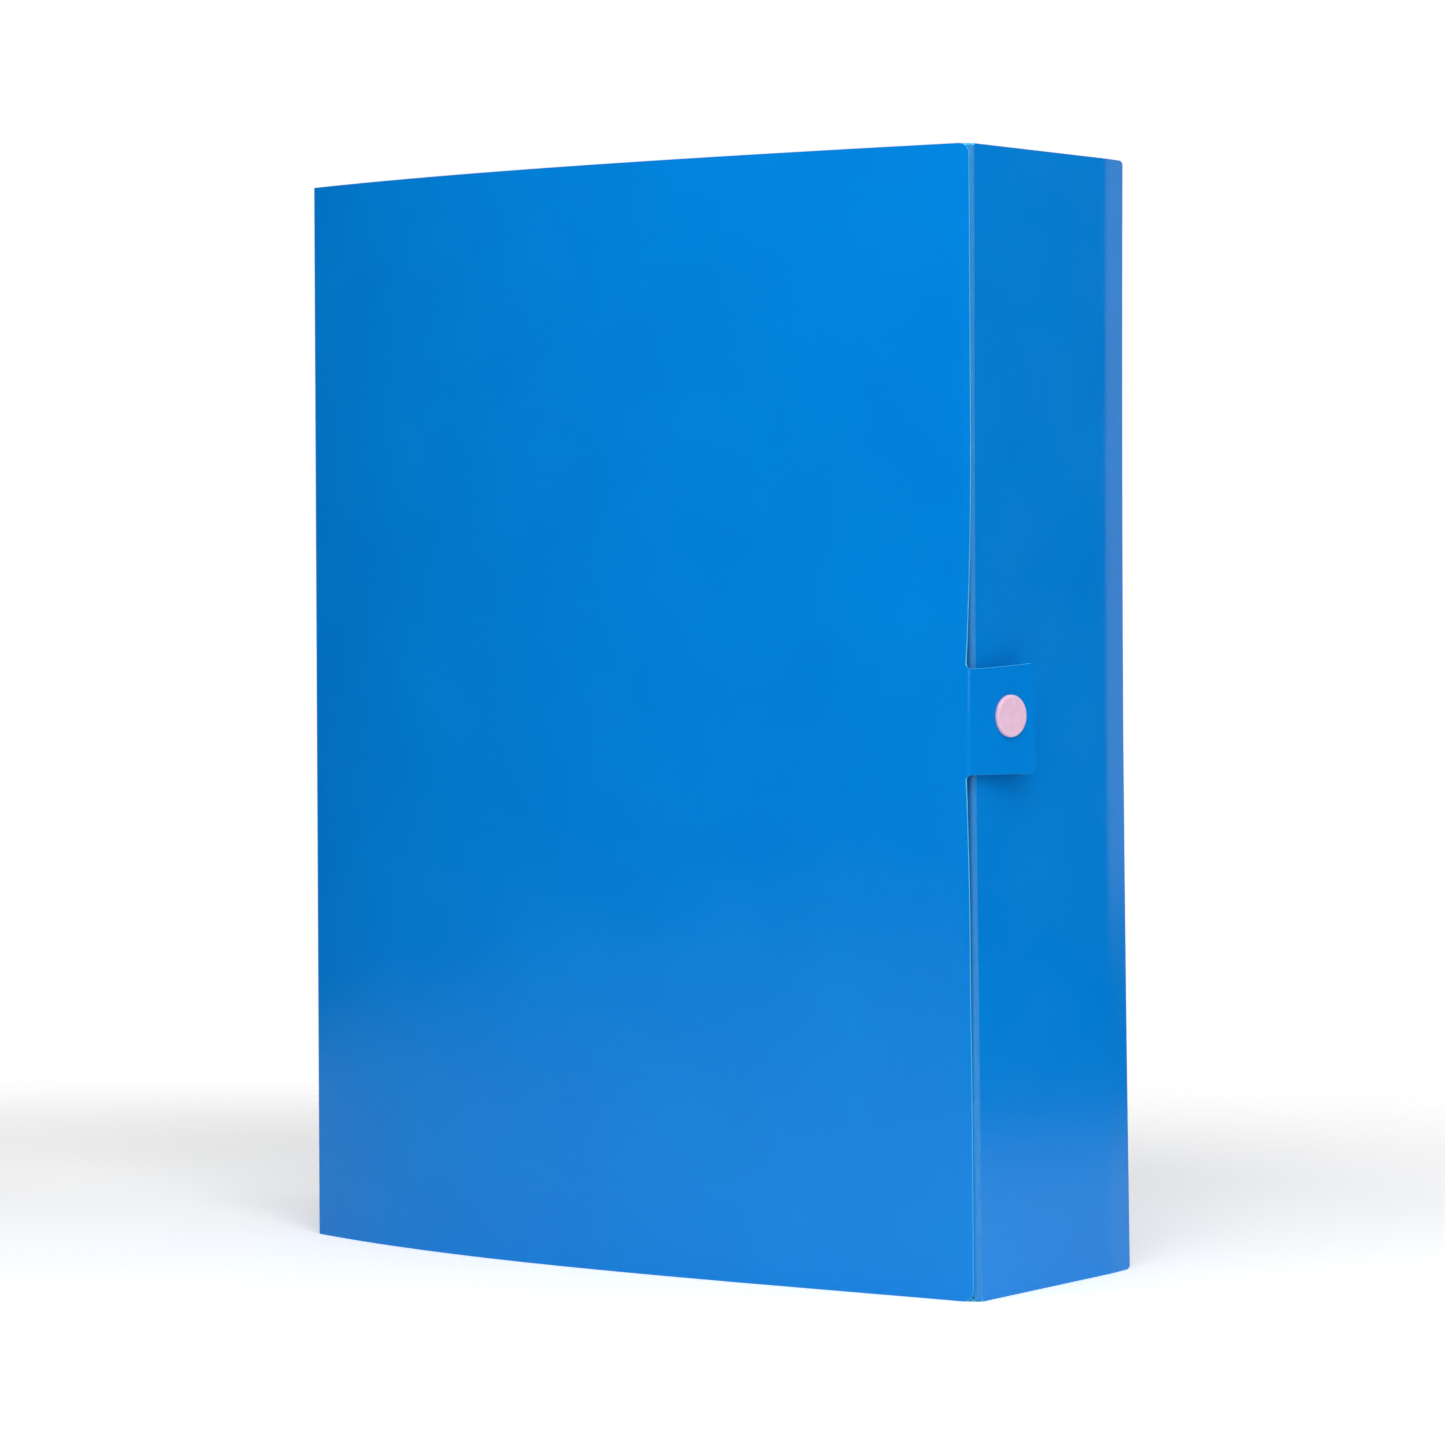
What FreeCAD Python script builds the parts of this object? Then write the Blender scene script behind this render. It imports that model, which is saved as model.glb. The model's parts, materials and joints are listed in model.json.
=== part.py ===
"""Archival document box of creased card, closed by a tab with a press stud.

The box stands upright on its tail wall.  X runs from the spine to the fore edge, the front
cover faces -Y, +Z is up, and the origin is the middle of the tail wall's outer face.
One creased blank makes all of the card, so every panel is a solid and every fold is a
rolled strip that joins two panels at their full thickness.  All sizes are in millimetres.
"""
import FreeCAD, Part
import math
import os

from FreeCAD import Vector

# ---- driving dimensions --------------------------------------------------------------------
WIDTH = 250.0            # spine face to the line of the cover's free edge
HEIGHT = 330.0           # tail wall to head wall, over the outside
DEPTH = 81.0             # front of the spine to the back panel, over the outside
CARD = 0.7               # thickness of the card

FOLD_SET_BACK = 0.6      # where a panel stops short of its fold line
WALL_FOLD_SET_BACK = 1.2  # the same at the softer fold between the fore-edge wall and its flap
TAB_FOLD_SET_BACK = 1.0  # the same at the softer fold of the closing tab

WALL_INSET = 1.0         # the fore-edge wall stands this far inside the cover's edge line
TRAY_FRONT_GAP = 0.7     # the tray's front plane lies this far behind the spine's front
END_GAP = 0.3            # the upright walls stop short of the head and tail faces
COVER_END_GAP = 0.5      # the cover stops short of the head and tail faces

COVER_START_SLOPE = 14.0  # degrees that the cover leaves the spine fold outward
COVER_FLAT_SLOPE = 3.0    # degrees that the flat part of the cover falls back inward
COVER_EDGE_LIFT = 3.35    # how far the free edge stands in front of the spine fold
COVER_EDGE_INSET = 0.8    # the tab fold's line, inside the line of the cover's edge
COVER_CORNER_RADIUS = 3.0

TAB_LENGTH = 27.0
TAB_HEIGHT = 31.0
TAB_MID_Z = 165.3
TAB_LEAN = 10.5          # degrees that the closed tab leans away from the wall
TAB_CORNER_RADIUS = 2.0

STUD_ALONG_TAB = 16.5    # tab fold to the press stud
STUD_Z = 166.5
CAP_RADIUS = 6.1
CAP_THICKNESS = 1.2
CAP_EDGE_RADIUS = 0.6
POST_RADIUS = 1.5
POST_HOLE_RADIUS = 1.55
SOCKET_RADIUS = 5.3
SOCKET_THICKNESS = 1.25
SOCKET_WEB = 0.4
SOCKET_BORE_RADIUS = 2.8
SOCKET_LIP_RADIUS = 2.4
SOCKET_LIP = 0.3
STUD_BASE = 0.5
STUD_REACH = 1.9
STUD_NECK_RADIUS = 1.7
STUD_HEAD_RADIUS = 1.9
STUD_HEAD_LENGTH = 0.7
STUD_HEAD_EDGE = 0.3
BACKING_THICKNESS = 1.2
POST_IN_STUD = 0.4

INNER_FLAP = 60.0        # fold line to free edge of the three inner flaps
MITRE_GAP = 2.0          # the end flaps' distance from the diagonal, beside the fore-edge flap
FORE_EDGE_FLAP_GAP = 0.3  # the fore-edge flap's fold stops this far inside the end walls' planes
SPINE_SIDE_GAP = 0.4     # the end flaps' distance from the diagonal at the spine
INNER_FLAP_RADIUS = 4.0
CORNER_FLAP = 35.0       # fold line to free edge of the glued corner flaps
CORNER_FLAP_TAPER = 6.0
CORNER_FLAP_MARGIN = 2.3  # clear of the back panel and of the inner flaps

# ---- planes and fold lines worked out from them ---------------------------------------------
HALF_CARD = CARD / 2.0
SPINE_X = -WIDTH / 2.0 + HALF_CARD
WALL_FACE_X = WIDTH / 2.0 - WALL_INSET
WALL_X = WALL_FACE_X - HALF_CARD
BACK_Y = DEPTH / 2.0 - HALF_CARD
SPINE_FRONT_Y = -DEPTH / 2.0 + HALF_CARD
FLAP_Y = -DEPTH / 2.0 + TRAY_FRONT_GAP + HALF_CARD
HEAD_Z = HEIGHT - HALF_CARD
TAIL_Z = HALF_CARD
CORNER_SPINE_X = SPINE_X + CARD
CORNER_WALL_X = WALL_X - CARD
TAB_FOLD_X = WIDTH / 2.0 - COVER_EDGE_INSET
TAB_FOLD_Y = SPINE_FRONT_Y - COVER_EDGE_LIFT

UP = Vector(0, 0, 1)
RIGHT = Vector(1, 0, 0)
BACKWARD = Vector(0, 1, 0)


def slab(low, high):
    """A flat panel or block between two opposite corners."""
    return Part.makeBox(high[0] - low[0], high[1] - low[1], high[2] - low[2], Vector(*low))


def closed_face(edges):
    """A flat face inside edges given in order round it."""
    return Part.Face(Part.Wire([edge.toShape() for edge in edges]))


def polygon_plate(points, through):
    """A plate with straight sides: the outline's corners, pushed along the vector through."""
    return Part.Face(Part.makePolygon(points + [points[0]])).extrude(through)


def round_edges(solid, radius, wanted):
    """Round the straight edges that the test picks."""
    return solid.makeFillet(radius, [edge for edge in solid.Edges if wanted(edge)])


def runs_along(edge, direction):
    """True for a straight edge that is parallel to the direction."""
    if not isinstance(edge.Curve, Part.Line):
        return False
    return abs(abs(edge.tangentAt(edge.FirstParameter).dot(direction)) - 1.0) < 1e-6


def fold_strip(corner, toward_a, toward_b, set_back, along):
    """The rolled card at a fold: an arc strip tangent to both panels.

    corner is where the panels' middle planes cross, at one end of the fold, toward_a and
    toward_b point from it along the two panels, and along is the fold's length as a vector.
    """
    half_angle = toward_a.getAngle(toward_b) / 2.0
    inward = (toward_a + toward_b).normalize()
    centre = corner + inward * (set_back / math.cos(half_angle))
    middle_radius = set_back * math.tan(half_angle)
    spoke_a = (corner + toward_a * set_back - centre).normalize()
    spoke_b = (corner + toward_b * set_back - centre).normalize()
    outer = middle_radius + HALF_CARD
    inner = middle_radius - HALF_CARD
    edges = [
        Part.Arc(centre + spoke_a * outer, centre - inward * outer, centre + spoke_b * outer),
        Part.LineSegment(centre + spoke_b * outer, centre + spoke_b * inner),
        Part.Arc(centre + spoke_b * inner, centre - inward * inner, centre + spoke_a * inner),
        Part.LineSegment(centre + spoke_a * inner, centre + spoke_a * outer),
    ]
    return closed_face(edges).extrude(along)


def disc(radius, start, length, centre_y=0.0, centre_z=0.0):
    """A round slice along X, from start, centred on the given line."""
    return Part.makeCylinder(radius, length, Vector(start, centre_y, centre_z), RIGHT)


# ---- the tray: back, spine, three walls and their glued corners -----------------------------
def back_panel():
    low = (SPINE_X + FOLD_SET_BACK, BACK_Y - HALF_CARD, TAIL_Z + FOLD_SET_BACK)
    high = (WALL_X - FOLD_SET_BACK, BACK_Y + HALF_CARD, HEAD_Z - FOLD_SET_BACK)
    return slab(low, high)


def spine_panel():
    low = (SPINE_X - HALF_CARD, SPINE_FRONT_Y + FOLD_SET_BACK, END_GAP)
    high = (SPINE_X + HALF_CARD, BACK_Y - FOLD_SET_BACK, HEIGHT - END_GAP)
    return slab(low, high)


def fore_edge_wall():
    low = (WALL_X - HALF_CARD, FLAP_Y + WALL_FOLD_SET_BACK, END_GAP)
    high = (WALL_X + HALF_CARD, BACK_Y - FOLD_SET_BACK, HEIGHT - END_GAP)
    hole = disc(POST_HOLE_RADIUS, low[0] - CARD, 3.0 * CARD, stud_y(), STUD_Z)
    return slab(low, high).cut(hole)


def end_wall(middle_z):
    low = (CORNER_SPINE_X + FOLD_SET_BACK, FLAP_Y + FOLD_SET_BACK, middle_z - HALF_CARD)
    high = (CORNER_WALL_X - FOLD_SET_BACK, BACK_Y - FOLD_SET_BACK, middle_z + HALF_CARD)
    return slab(low, high)


def corner_flap_span():
    """The front and back ends of a corner flap's fold."""
    return FLAP_Y + CORNER_FLAP_MARGIN, BACK_Y - CORNER_FLAP_MARGIN


def corner_flap(middle_x, fold_z, toward_middle):
    """A glue flap that turns down from an end wall against an upright wall."""
    front, back = corner_flap_span()
    root_z = fold_z + toward_middle * FOLD_SET_BACK
    tip_z = fold_z + toward_middle * CORNER_FLAP
    side_x = middle_x - HALF_CARD
    points = [
        Vector(side_x, front, root_z),
        Vector(side_x, back, root_z),
        Vector(side_x, back - CORNER_FLAP_TAPER, tip_z),
        Vector(side_x, front + CORNER_FLAP_TAPER, tip_z),
    ]
    return polygon_plate(points, Vector(CARD, 0, 0))


def corner_crease(middle_x, fold_z, toward_middle, inward_x):
    front, back = corner_flap_span()
    corner = Vector(middle_x, front, fold_z)
    along = BACKWARD * (back - front)
    return fold_strip(corner, RIGHT * inward_x, UP * toward_middle, FOLD_SET_BACK, along)


def back_side_crease(fold_x, inward_x):
    """The upright fold between the back panel and the spine or the fore-edge wall."""
    corner = Vector(fold_x, BACK_Y, TAIL_Z + FOLD_SET_BACK)
    along = UP * (HEAD_Z - TAIL_Z - 2.0 * FOLD_SET_BACK)
    return fold_strip(corner, RIGHT * inward_x, -BACKWARD, FOLD_SET_BACK, along)


def back_end_crease(fold_z, toward_middle):
    """The level fold between the back panel and the head or tail wall."""
    start_x = CORNER_SPINE_X + FOLD_SET_BACK
    corner = Vector(start_x, BACK_Y, fold_z)
    along = RIGHT * (CORNER_WALL_X - FOLD_SET_BACK - start_x)
    return fold_strip(corner, UP * toward_middle, -BACKWARD, FOLD_SET_BACK, along)


# ---- the three inner flaps -------------------------------------------------------------------
def fore_edge_flap_span(reach):
    """Lower and upper ends of the fore-edge flap at a distance from its fold line."""
    inset = reach - WALL_FOLD_SET_BACK + FORE_EDGE_FLAP_GAP
    return TAIL_Z + inset, HEAD_Z - inset


def end_flap_span(reach):
    """Spine and fore-edge ends of a head or tail flap at a distance from its fold line."""
    return SPINE_X + reach + SPINE_SIDE_GAP, WALL_X - reach - MITRE_GAP


def fore_edge_inner_flap():
    root_low, root_high = fore_edge_flap_span(WALL_FOLD_SET_BACK)
    tip_low, tip_high = fore_edge_flap_span(INNER_FLAP)
    front = FLAP_Y - HALF_CARD
    points = [
        Vector(WALL_X - WALL_FOLD_SET_BACK, front, root_low),
        Vector(WALL_X - WALL_FOLD_SET_BACK, front, root_high),
        Vector(WALL_X - INNER_FLAP, front, tip_high),
        Vector(WALL_X - INNER_FLAP, front, tip_low),
    ]
    plate = polygon_plate(points, BACKWARD * CARD)
    return round_edges(plate, INNER_FLAP_RADIUS, lambda edge: runs_along(edge, BACKWARD)
                       and edge.CenterOfMass.x < WALL_X - INNER_FLAP / 2.0)


def end_inner_flap(fold_z, toward_middle):
    root_left, root_right = end_flap_span(FOLD_SET_BACK)
    tip_left, tip_right = end_flap_span(INNER_FLAP)
    root_z = fold_z + toward_middle * FOLD_SET_BACK
    tip_z = fold_z + toward_middle * INNER_FLAP
    front = FLAP_Y - HALF_CARD
    points = [
        Vector(root_left, front, root_z),
        Vector(root_right, front, root_z),
        Vector(tip_right, front, tip_z),
        Vector(tip_left, front, tip_z),
    ]
    plate = polygon_plate(points, BACKWARD * CARD)
    return round_edges(plate, INNER_FLAP_RADIUS, lambda edge: runs_along(edge, BACKWARD)
                       and abs(edge.CenterOfMass.z - tip_z) < CARD)


def fore_edge_flap_crease():
    low, high = fore_edge_flap_span(WALL_FOLD_SET_BACK)
    corner = Vector(WALL_X, FLAP_Y, low)
    return fold_strip(corner, BACKWARD, -RIGHT, WALL_FOLD_SET_BACK, UP * (high - low))


def end_flap_crease(fold_z, toward_middle):
    left, right = end_flap_span(FOLD_SET_BACK)
    corner = Vector(left, FLAP_Y, fold_z)
    along = RIGHT * (right - left)
    return fold_strip(corner, BACKWARD, UP * toward_middle, FOLD_SET_BACK, along)


# ---- the cover -------------------------------------------------------------------------------
def cover_directions():
    """Unit vectors along the cover's middle line at the spine fold and along its flat part."""
    start = math.radians(COVER_START_SLOPE)
    flat = math.radians(COVER_FLAT_SLOPE)
    leaving = Vector(math.cos(start), -math.sin(start), 0)
    flat_run = Vector(math.cos(flat), math.sin(flat), 0)
    return leaving, flat_run


def cover_bow():
    """Radius of the cover's bowed part and length of the flat part up to the tab fold.

    The bow leaves the spine fold at the start slope and turns into the flat part, and the
    two reach exactly from fold to fold.
    """
    leaving, flat_run = cover_directions()
    span = Vector(TAB_FOLD_X - SPINE_X, TAB_FOLD_Y - SPINE_FRONT_Y, 0) - leaving * FOLD_SET_BACK
    bow_x = flat_run.y - leaving.y
    bow_y = leaving.x - flat_run.x
    scale = bow_x * flat_run.y - bow_y * flat_run.x
    radius = (span.x * flat_run.y - span.y * flat_run.x) / scale
    flat_length = (bow_x * span.y - bow_y * span.x) / scale
    return radius, flat_length


def cover_line(offset):
    """The bow and the flat part, offset outward from the middle line, as two edges."""
    leaving, flat_run = cover_directions()
    radius, flat_length = cover_bow()
    start = Vector(SPINE_X, SPINE_FRONT_Y, 0) + leaving * FOLD_SET_BACK
    out_start = Vector(leaving.y, -leaving.x, 0)
    out_flat = Vector(flat_run.y, -flat_run.x, 0)
    centre = start - out_start * radius
    out_middle = (out_start + out_flat).normalize()
    reach = radius + offset
    bow_end = centre + out_flat * reach
    flat_end = bow_end + flat_run * (flat_length - TAB_FOLD_SET_BACK)
    bow = Part.Arc(centre + out_start * reach, centre + out_middle * reach, bow_end)
    return bow, Part.LineSegment(bow_end, flat_end)


def front_cover():
    outer_bow, outer_flat = cover_line(HALF_CARD)
    inner_bow, inner_flat = cover_line(-HALF_CARD)
    edges = [
        outer_bow,
        outer_flat,
        Part.LineSegment(outer_flat.EndPoint, inner_flat.EndPoint),
        inner_flat,
        inner_bow,
        Part.LineSegment(inner_bow.StartPoint, outer_bow.StartPoint),
    ]
    wire = Part.Wire(Part.__sortEdges__([edge.toShape() for edge in edges]))
    sheet = Part.Face(wire).extrude(UP * (HEIGHT - 2.0 * COVER_END_GAP))
    sheet.translate(UP * COVER_END_GAP)
    return round_edges(sheet, COVER_CORNER_RADIUS, lambda edge: edge.Length < 2.0 * CARD
                       and edge.CenterOfMass.x > 0)


def spine_cover_crease():
    leaving, _ = cover_directions()
    corner = Vector(SPINE_X, SPINE_FRONT_Y, COVER_END_GAP)
    along = UP * (HEIGHT - 2.0 * COVER_END_GAP)
    return fold_strip(corner, BACKWARD, leaving, FOLD_SET_BACK, along)


# ---- the closing tab and the press stud -----------------------------------------------------
def tab_direction():
    """The unit vector along the closed tab, from its fold to its tip."""
    lean = math.radians(TAB_LEAN)
    return Vector(math.sin(lean), math.cos(lean), 0)


def stud_y():
    return TAB_FOLD_Y + STUD_ALONG_TAB * tab_direction().y


def place_on_tab(shape):
    """Turn a shape drawn with the tab along +Y from the origin into the closed tab's place."""
    shape.rotate(Vector(0, 0, 0), UP, -TAB_LEAN)
    shape.translate(Vector(TAB_FOLD_X, TAB_FOLD_Y, 0))
    return shape


def closing_tab():
    low = (-HALF_CARD, TAB_FOLD_SET_BACK, TAB_MID_Z - TAB_HEIGHT / 2.0)
    high = (HALF_CARD, TAB_LENGTH, TAB_MID_Z + TAB_HEIGHT / 2.0)
    plate = round_edges(slab(low, high), TAB_CORNER_RADIUS, lambda edge: runs_along(edge, RIGHT)
                        and edge.CenterOfMass.y > TAB_LENGTH / 2.0)
    hole = disc(POST_HOLE_RADIUS, -CARD, 2.0 * CARD, STUD_ALONG_TAB, STUD_Z)
    return place_on_tab(plate.cut(hole))


def cover_tab_crease():
    _, flat_run = cover_directions()
    corner = Vector(TAB_FOLD_X, TAB_FOLD_Y, TAB_MID_Z - TAB_HEIGHT / 2.0)
    return fold_strip(corner, -flat_run, tab_direction(), TAB_FOLD_SET_BACK, UP * TAB_HEIGHT)


def press_stud_cap():
    """The flat round cap outside the tab, with the post that holds the socket."""
    button = disc(CAP_RADIUS, HALF_CARD, CAP_THICKNESS, STUD_ALONG_TAB, STUD_Z)
    top = HALF_CARD + CAP_THICKNESS
    button = round_edges(button, CAP_EDGE_RADIUS,
                         lambda edge: abs(edge.CenterOfMass.x - top) < 1e-6)
    post = disc(POST_RADIUS, -HALF_CARD - SOCKET_WEB, CARD + SOCKET_WEB, STUD_ALONG_TAB, STUD_Z)
    return place_on_tab(button.fuse(post).removeSplitter())


def press_stud_socket():
    """The ring inside the tab: a web on the post, and a bore with a lip round its mouth."""
    mouth = -HALF_CARD - SOCKET_THICKNESS
    ring = disc(SOCKET_RADIUS, mouth, SOCKET_THICKNESS, STUD_ALONG_TAB, STUD_Z)
    bore_length = SOCKET_THICKNESS - SOCKET_WEB - SOCKET_LIP
    bore = disc(SOCKET_BORE_RADIUS, mouth + SOCKET_LIP, bore_length, STUD_ALONG_TAB, STUD_Z)
    lip = disc(SOCKET_LIP_RADIUS, mouth, SOCKET_LIP, STUD_ALONG_TAB, STUD_Z)
    post_hole = disc(POST_HOLE_RADIUS, mouth, SOCKET_THICKNESS, STUD_ALONG_TAB, STUD_Z)
    return place_on_tab(ring.cut(bore.fuse([lip, post_hole])))


def press_stud_stud():
    """The stud outside the fore-edge wall: a base, a neck and a rounded head."""
    base = disc(SOCKET_RADIUS, WALL_FACE_X, STUD_BASE, stud_y(), STUD_Z)
    neck = disc(STUD_NECK_RADIUS, WALL_FACE_X, STUD_REACH, stud_y(), STUD_Z)
    top = WALL_FACE_X + STUD_REACH
    head = disc(STUD_HEAD_RADIUS, top - STUD_HEAD_LENGTH, STUD_HEAD_LENGTH, stud_y(), STUD_Z)
    head = round_edges(head, STUD_HEAD_EDGE, lambda edge: abs(edge.CenterOfMass.x - top) < 1e-6)
    socket = disc(POST_RADIUS, WALL_FACE_X, POST_IN_STUD, stud_y(), STUD_Z)
    return base.fuse([neck, head]).removeSplitter().cut(socket)


def press_stud_backing():
    """The cap inside the fore-edge wall, with its post through the card into the stud."""
    inner_face = WALL_X - HALF_CARD
    low_face = inner_face - BACKING_THICKNESS
    button = disc(CAP_RADIUS, low_face, BACKING_THICKNESS, stud_y(), STUD_Z)
    button = round_edges(button, CAP_EDGE_RADIUS,
                         lambda edge: abs(edge.CenterOfMass.x - low_face) < 1e-6)
    post = disc(POST_RADIUS, inner_face, CARD + POST_IN_STUD, stud_y(), STUD_Z)
    return button.fuse(post).removeSplitter()


# ---- every node ------------------------------------------------------------------------------
def all_parts():
    parts = {
        "back_panel": back_panel(),
        "spine_panel": spine_panel(),
        "fore_edge_wall": fore_edge_wall(),
        "back_spine_crease": back_side_crease(SPINE_X, 1),
        "back_fore_edge_crease": back_side_crease(WALL_X, -1),
        "fore_edge_inner_flap": fore_edge_inner_flap(),
        "fore_edge_flap_crease": fore_edge_flap_crease(),
        "front_cover": front_cover(),
        "spine_cover_crease": spine_cover_crease(),
        "closing_tab": closing_tab(),
        "cover_tab_crease": cover_tab_crease(),
        "press_stud_cap": press_stud_cap(),
        "press_stud_socket": press_stud_socket(),
        "press_stud_stud": press_stud_stud(),
        "press_stud_backing": press_stud_backing(),
    }
    for end, fold_z, toward_middle in (("head", HEAD_Z, -1), ("tail", TAIL_Z, 1)):
        parts[end + "_wall"] = end_wall(fold_z)
        parts["back_" + end + "_crease"] = back_end_crease(fold_z, toward_middle)
        parts[end + "_inner_flap"] = end_inner_flap(fold_z, toward_middle)
        parts[end + "_flap_crease"] = end_flap_crease(fold_z, toward_middle)
        for side, fold_x, inward_x in (("spine", CORNER_SPINE_X, 1), ("fore_edge", CORNER_WALL_X, -1)):
            name = end + "_" + side + "_corner"
            parts[name + "_flap"] = corner_flap(fold_x, fold_z, toward_middle)
            parts[name + "_crease"] = corner_crease(fold_x, fold_z, toward_middle, inward_x)
    return parts


os.makedirs("parts", exist_ok=True)
for node, shape in all_parts().items():
    solid = shape.Solids[0]
    if len(shape.Solids) != 1 or not solid.isValid():
        raise ValueError(node + " is not one valid solid")
    solid.exportStep(os.path.join("parts", node + ".step"))

bow_radius, bow_flat = cover_bow()
print("bow radius %.1f mm, flat part %.1f mm" % (bow_radius, bow_flat))
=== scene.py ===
"""Looks of the archival box: glazed card bent into a box, and a moulded press stud.

Every panel and fold of the card is a thin closed sheet, built round its middle face, with a
glazed outer side, a plain inner side and a raw cut edge.  All lengths are in metres.
"""
import json
import math

import bmesh
import bpy
import numpy as np
from mathutils import Matrix, Vector


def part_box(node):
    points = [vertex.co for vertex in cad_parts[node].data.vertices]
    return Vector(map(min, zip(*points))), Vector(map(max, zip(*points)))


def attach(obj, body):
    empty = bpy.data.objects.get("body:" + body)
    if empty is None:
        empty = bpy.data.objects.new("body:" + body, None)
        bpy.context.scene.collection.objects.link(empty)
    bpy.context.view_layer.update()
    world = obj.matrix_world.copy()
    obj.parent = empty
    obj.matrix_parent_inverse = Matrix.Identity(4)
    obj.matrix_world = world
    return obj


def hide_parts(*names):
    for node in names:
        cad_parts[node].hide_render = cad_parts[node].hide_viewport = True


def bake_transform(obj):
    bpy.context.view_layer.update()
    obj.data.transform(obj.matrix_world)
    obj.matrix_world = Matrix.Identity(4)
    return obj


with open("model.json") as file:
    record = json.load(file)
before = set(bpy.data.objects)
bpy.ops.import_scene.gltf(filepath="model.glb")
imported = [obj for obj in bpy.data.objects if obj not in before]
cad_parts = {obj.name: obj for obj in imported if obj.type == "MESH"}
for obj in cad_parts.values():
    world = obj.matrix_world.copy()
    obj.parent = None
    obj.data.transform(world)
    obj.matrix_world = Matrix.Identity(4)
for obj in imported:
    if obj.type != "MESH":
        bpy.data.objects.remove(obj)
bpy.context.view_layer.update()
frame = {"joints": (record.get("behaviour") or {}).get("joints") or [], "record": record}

MM = 0.001

# ---- places read from the frame --------------------------------------------------------------
HINGE = {joint["name"]: joint["pos_m"] for joint in frame["joints"]}
BODY_OF = {node: body for body, nodes in frame["record"]["behaviour"]["bodies"].items() for node in nodes}


def middle(node, axis):
    low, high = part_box(node)
    return (low[axis] + high[axis]) / 2.0


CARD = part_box("back_panel")[1].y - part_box("back_panel")[0].y
HALF = CARD / 2.0
SPINE_X, COVER_FOLD_Y, MIDDLE_Z = HINGE["cover_hinge"]
TAB_FOLD_X, TAB_FOLD_Y, TAB_MIDDLE_Z = HINGE["tab_hinge"]
WALL_X, FLAP_Y, _ = HINGE["fore_edge_flap_hinge"]
HEAD_Z = HINGE["head_flap_hinge"][2]
TAIL_Z = HINGE["tail_flap_hinge"][2]
BACK_Y = middle("back_panel", 1)
CORNER_SPINE_X = middle("head_spine_corner_flap", 0)
CORNER_WALL_X = middle("head_fore_edge_corner_flap", 0)
END_SPREAD = 0.15 * MM       # the raw ends of the upright walls stand out by this much
COVER_SPREAD = 0.4 * MM      # and those of the cover by this much
WALL_LOW_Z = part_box("fore_edge_wall")[0].z - END_SPREAD
WALL_HIGH_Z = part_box("fore_edge_wall")[1].z + END_SPREAD
COVER_LOW_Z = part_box("front_cover")[0].z - COVER_SPREAD
COVER_HIGH_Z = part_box("front_cover")[1].z + COVER_SPREAD
COVER_EDGE_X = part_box("front_cover")[1].x
TAB_TRIM_LOW = 0.3 * MM      # the tab's root stops this far inside its node's lower edge
TAB_TRIM_HIGH = 0.6 * MM     # and this far inside the upper one
TAB_LOW_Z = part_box("closing_tab")[0].z + TAB_TRIM_LOW
TAB_HIGH_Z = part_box("closing_tab")[1].z - TAB_TRIM_HIGH
STUD_Y = middle("press_stud_stud", 1)
STUD_Z = middle("press_stud_stud", 2)
WALL_FACE_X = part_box("press_stud_stud")[0].x

# ---- sizes of the card and its folds -----------------------------------------------------------
SET_BACK = 0.6 * MM          # a panel stops this far from its fold line
TAB_SET_BACK = 1.0 * MM
WALL_SET_BACK = 1.2 * MM     # the softer fold between the fore-edge wall and its flap
FLAT_RUN = 0.1 * MM          # flat card at each end of a fold strip
EDGE_BULGE = 0.05 * MM       # how far a cut edge is rounded out
INNER_FLAP = WALL_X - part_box("fore_edge_inner_flap")[0].x
MITRE_GAP = 2.0 * MM         # the end flaps' distance from the diagonal, beside the fore-edge flap
SPINE_SIDE_GAP = 0.4 * MM    # their distance from it at the spine
FORE_EDGE_FLAP_GAP = 0.3 * MM  # the fore-edge flap's fold stops this far inside the end walls' planes
FLAP_CORNER = 4.0 * MM
BACK_RELIEF = 0.85 * MM      # the fore-edge wall's back corners are rounded down to the fold's end
BACK_RELIEF_RUN = 1.8 * MM
CORNER_FLAP = HEAD_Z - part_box("head_spine_corner_flap")[0].z
CORNER_FLAP_TAPER = 6.0 * MM
CORNER_FLAP_MARGIN = 2.3 * MM

# ---- the cover's shape -------------------------------------------------------------------------
COVER_SAG = 10.9 * MM        # depth of the cover's bow, from its chord
SKEW_TAIL = 0.50             # how far the bow leans to the spine side, at the tail and the head
SKEW_HEAD = 0.24
COVER_CORNER = 3.0 * MM
EDGE_SHUT_Y = -40.84 * MM    # outer face of the cover's free edge where it lies on the flap
EDGE_LIFT = 3.25 * MM        # the free edge stands off this much more at the tab
LIFT_BELOW = 64.0 * MM       # how far below and above the tab the lift dies away
LIFT_ABOVE = 42.0 * MM
HEAD_LIFT = 0.2 * MM         # the free edge's lift at the head
TAIL_DRAW_IN = 0.65 * MM     # the free edge lies this much nearer the spine, below the tab
DRAW_IN_START = 40.0 * MM    # it draws in from this far below the tab's middle
DRAW_IN_RUN = 45.0 * MM
EDGE_CURL = 0.30 * MM        # the die-cut free edge is rolled inward over its last stretch
CURL_RUN = 3.0 * MM
TAB_ZONE = 18.0 * MM         # except this far above and below the tab's middle
TAB_ZONE_BLEND = 6.0 * MM

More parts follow.
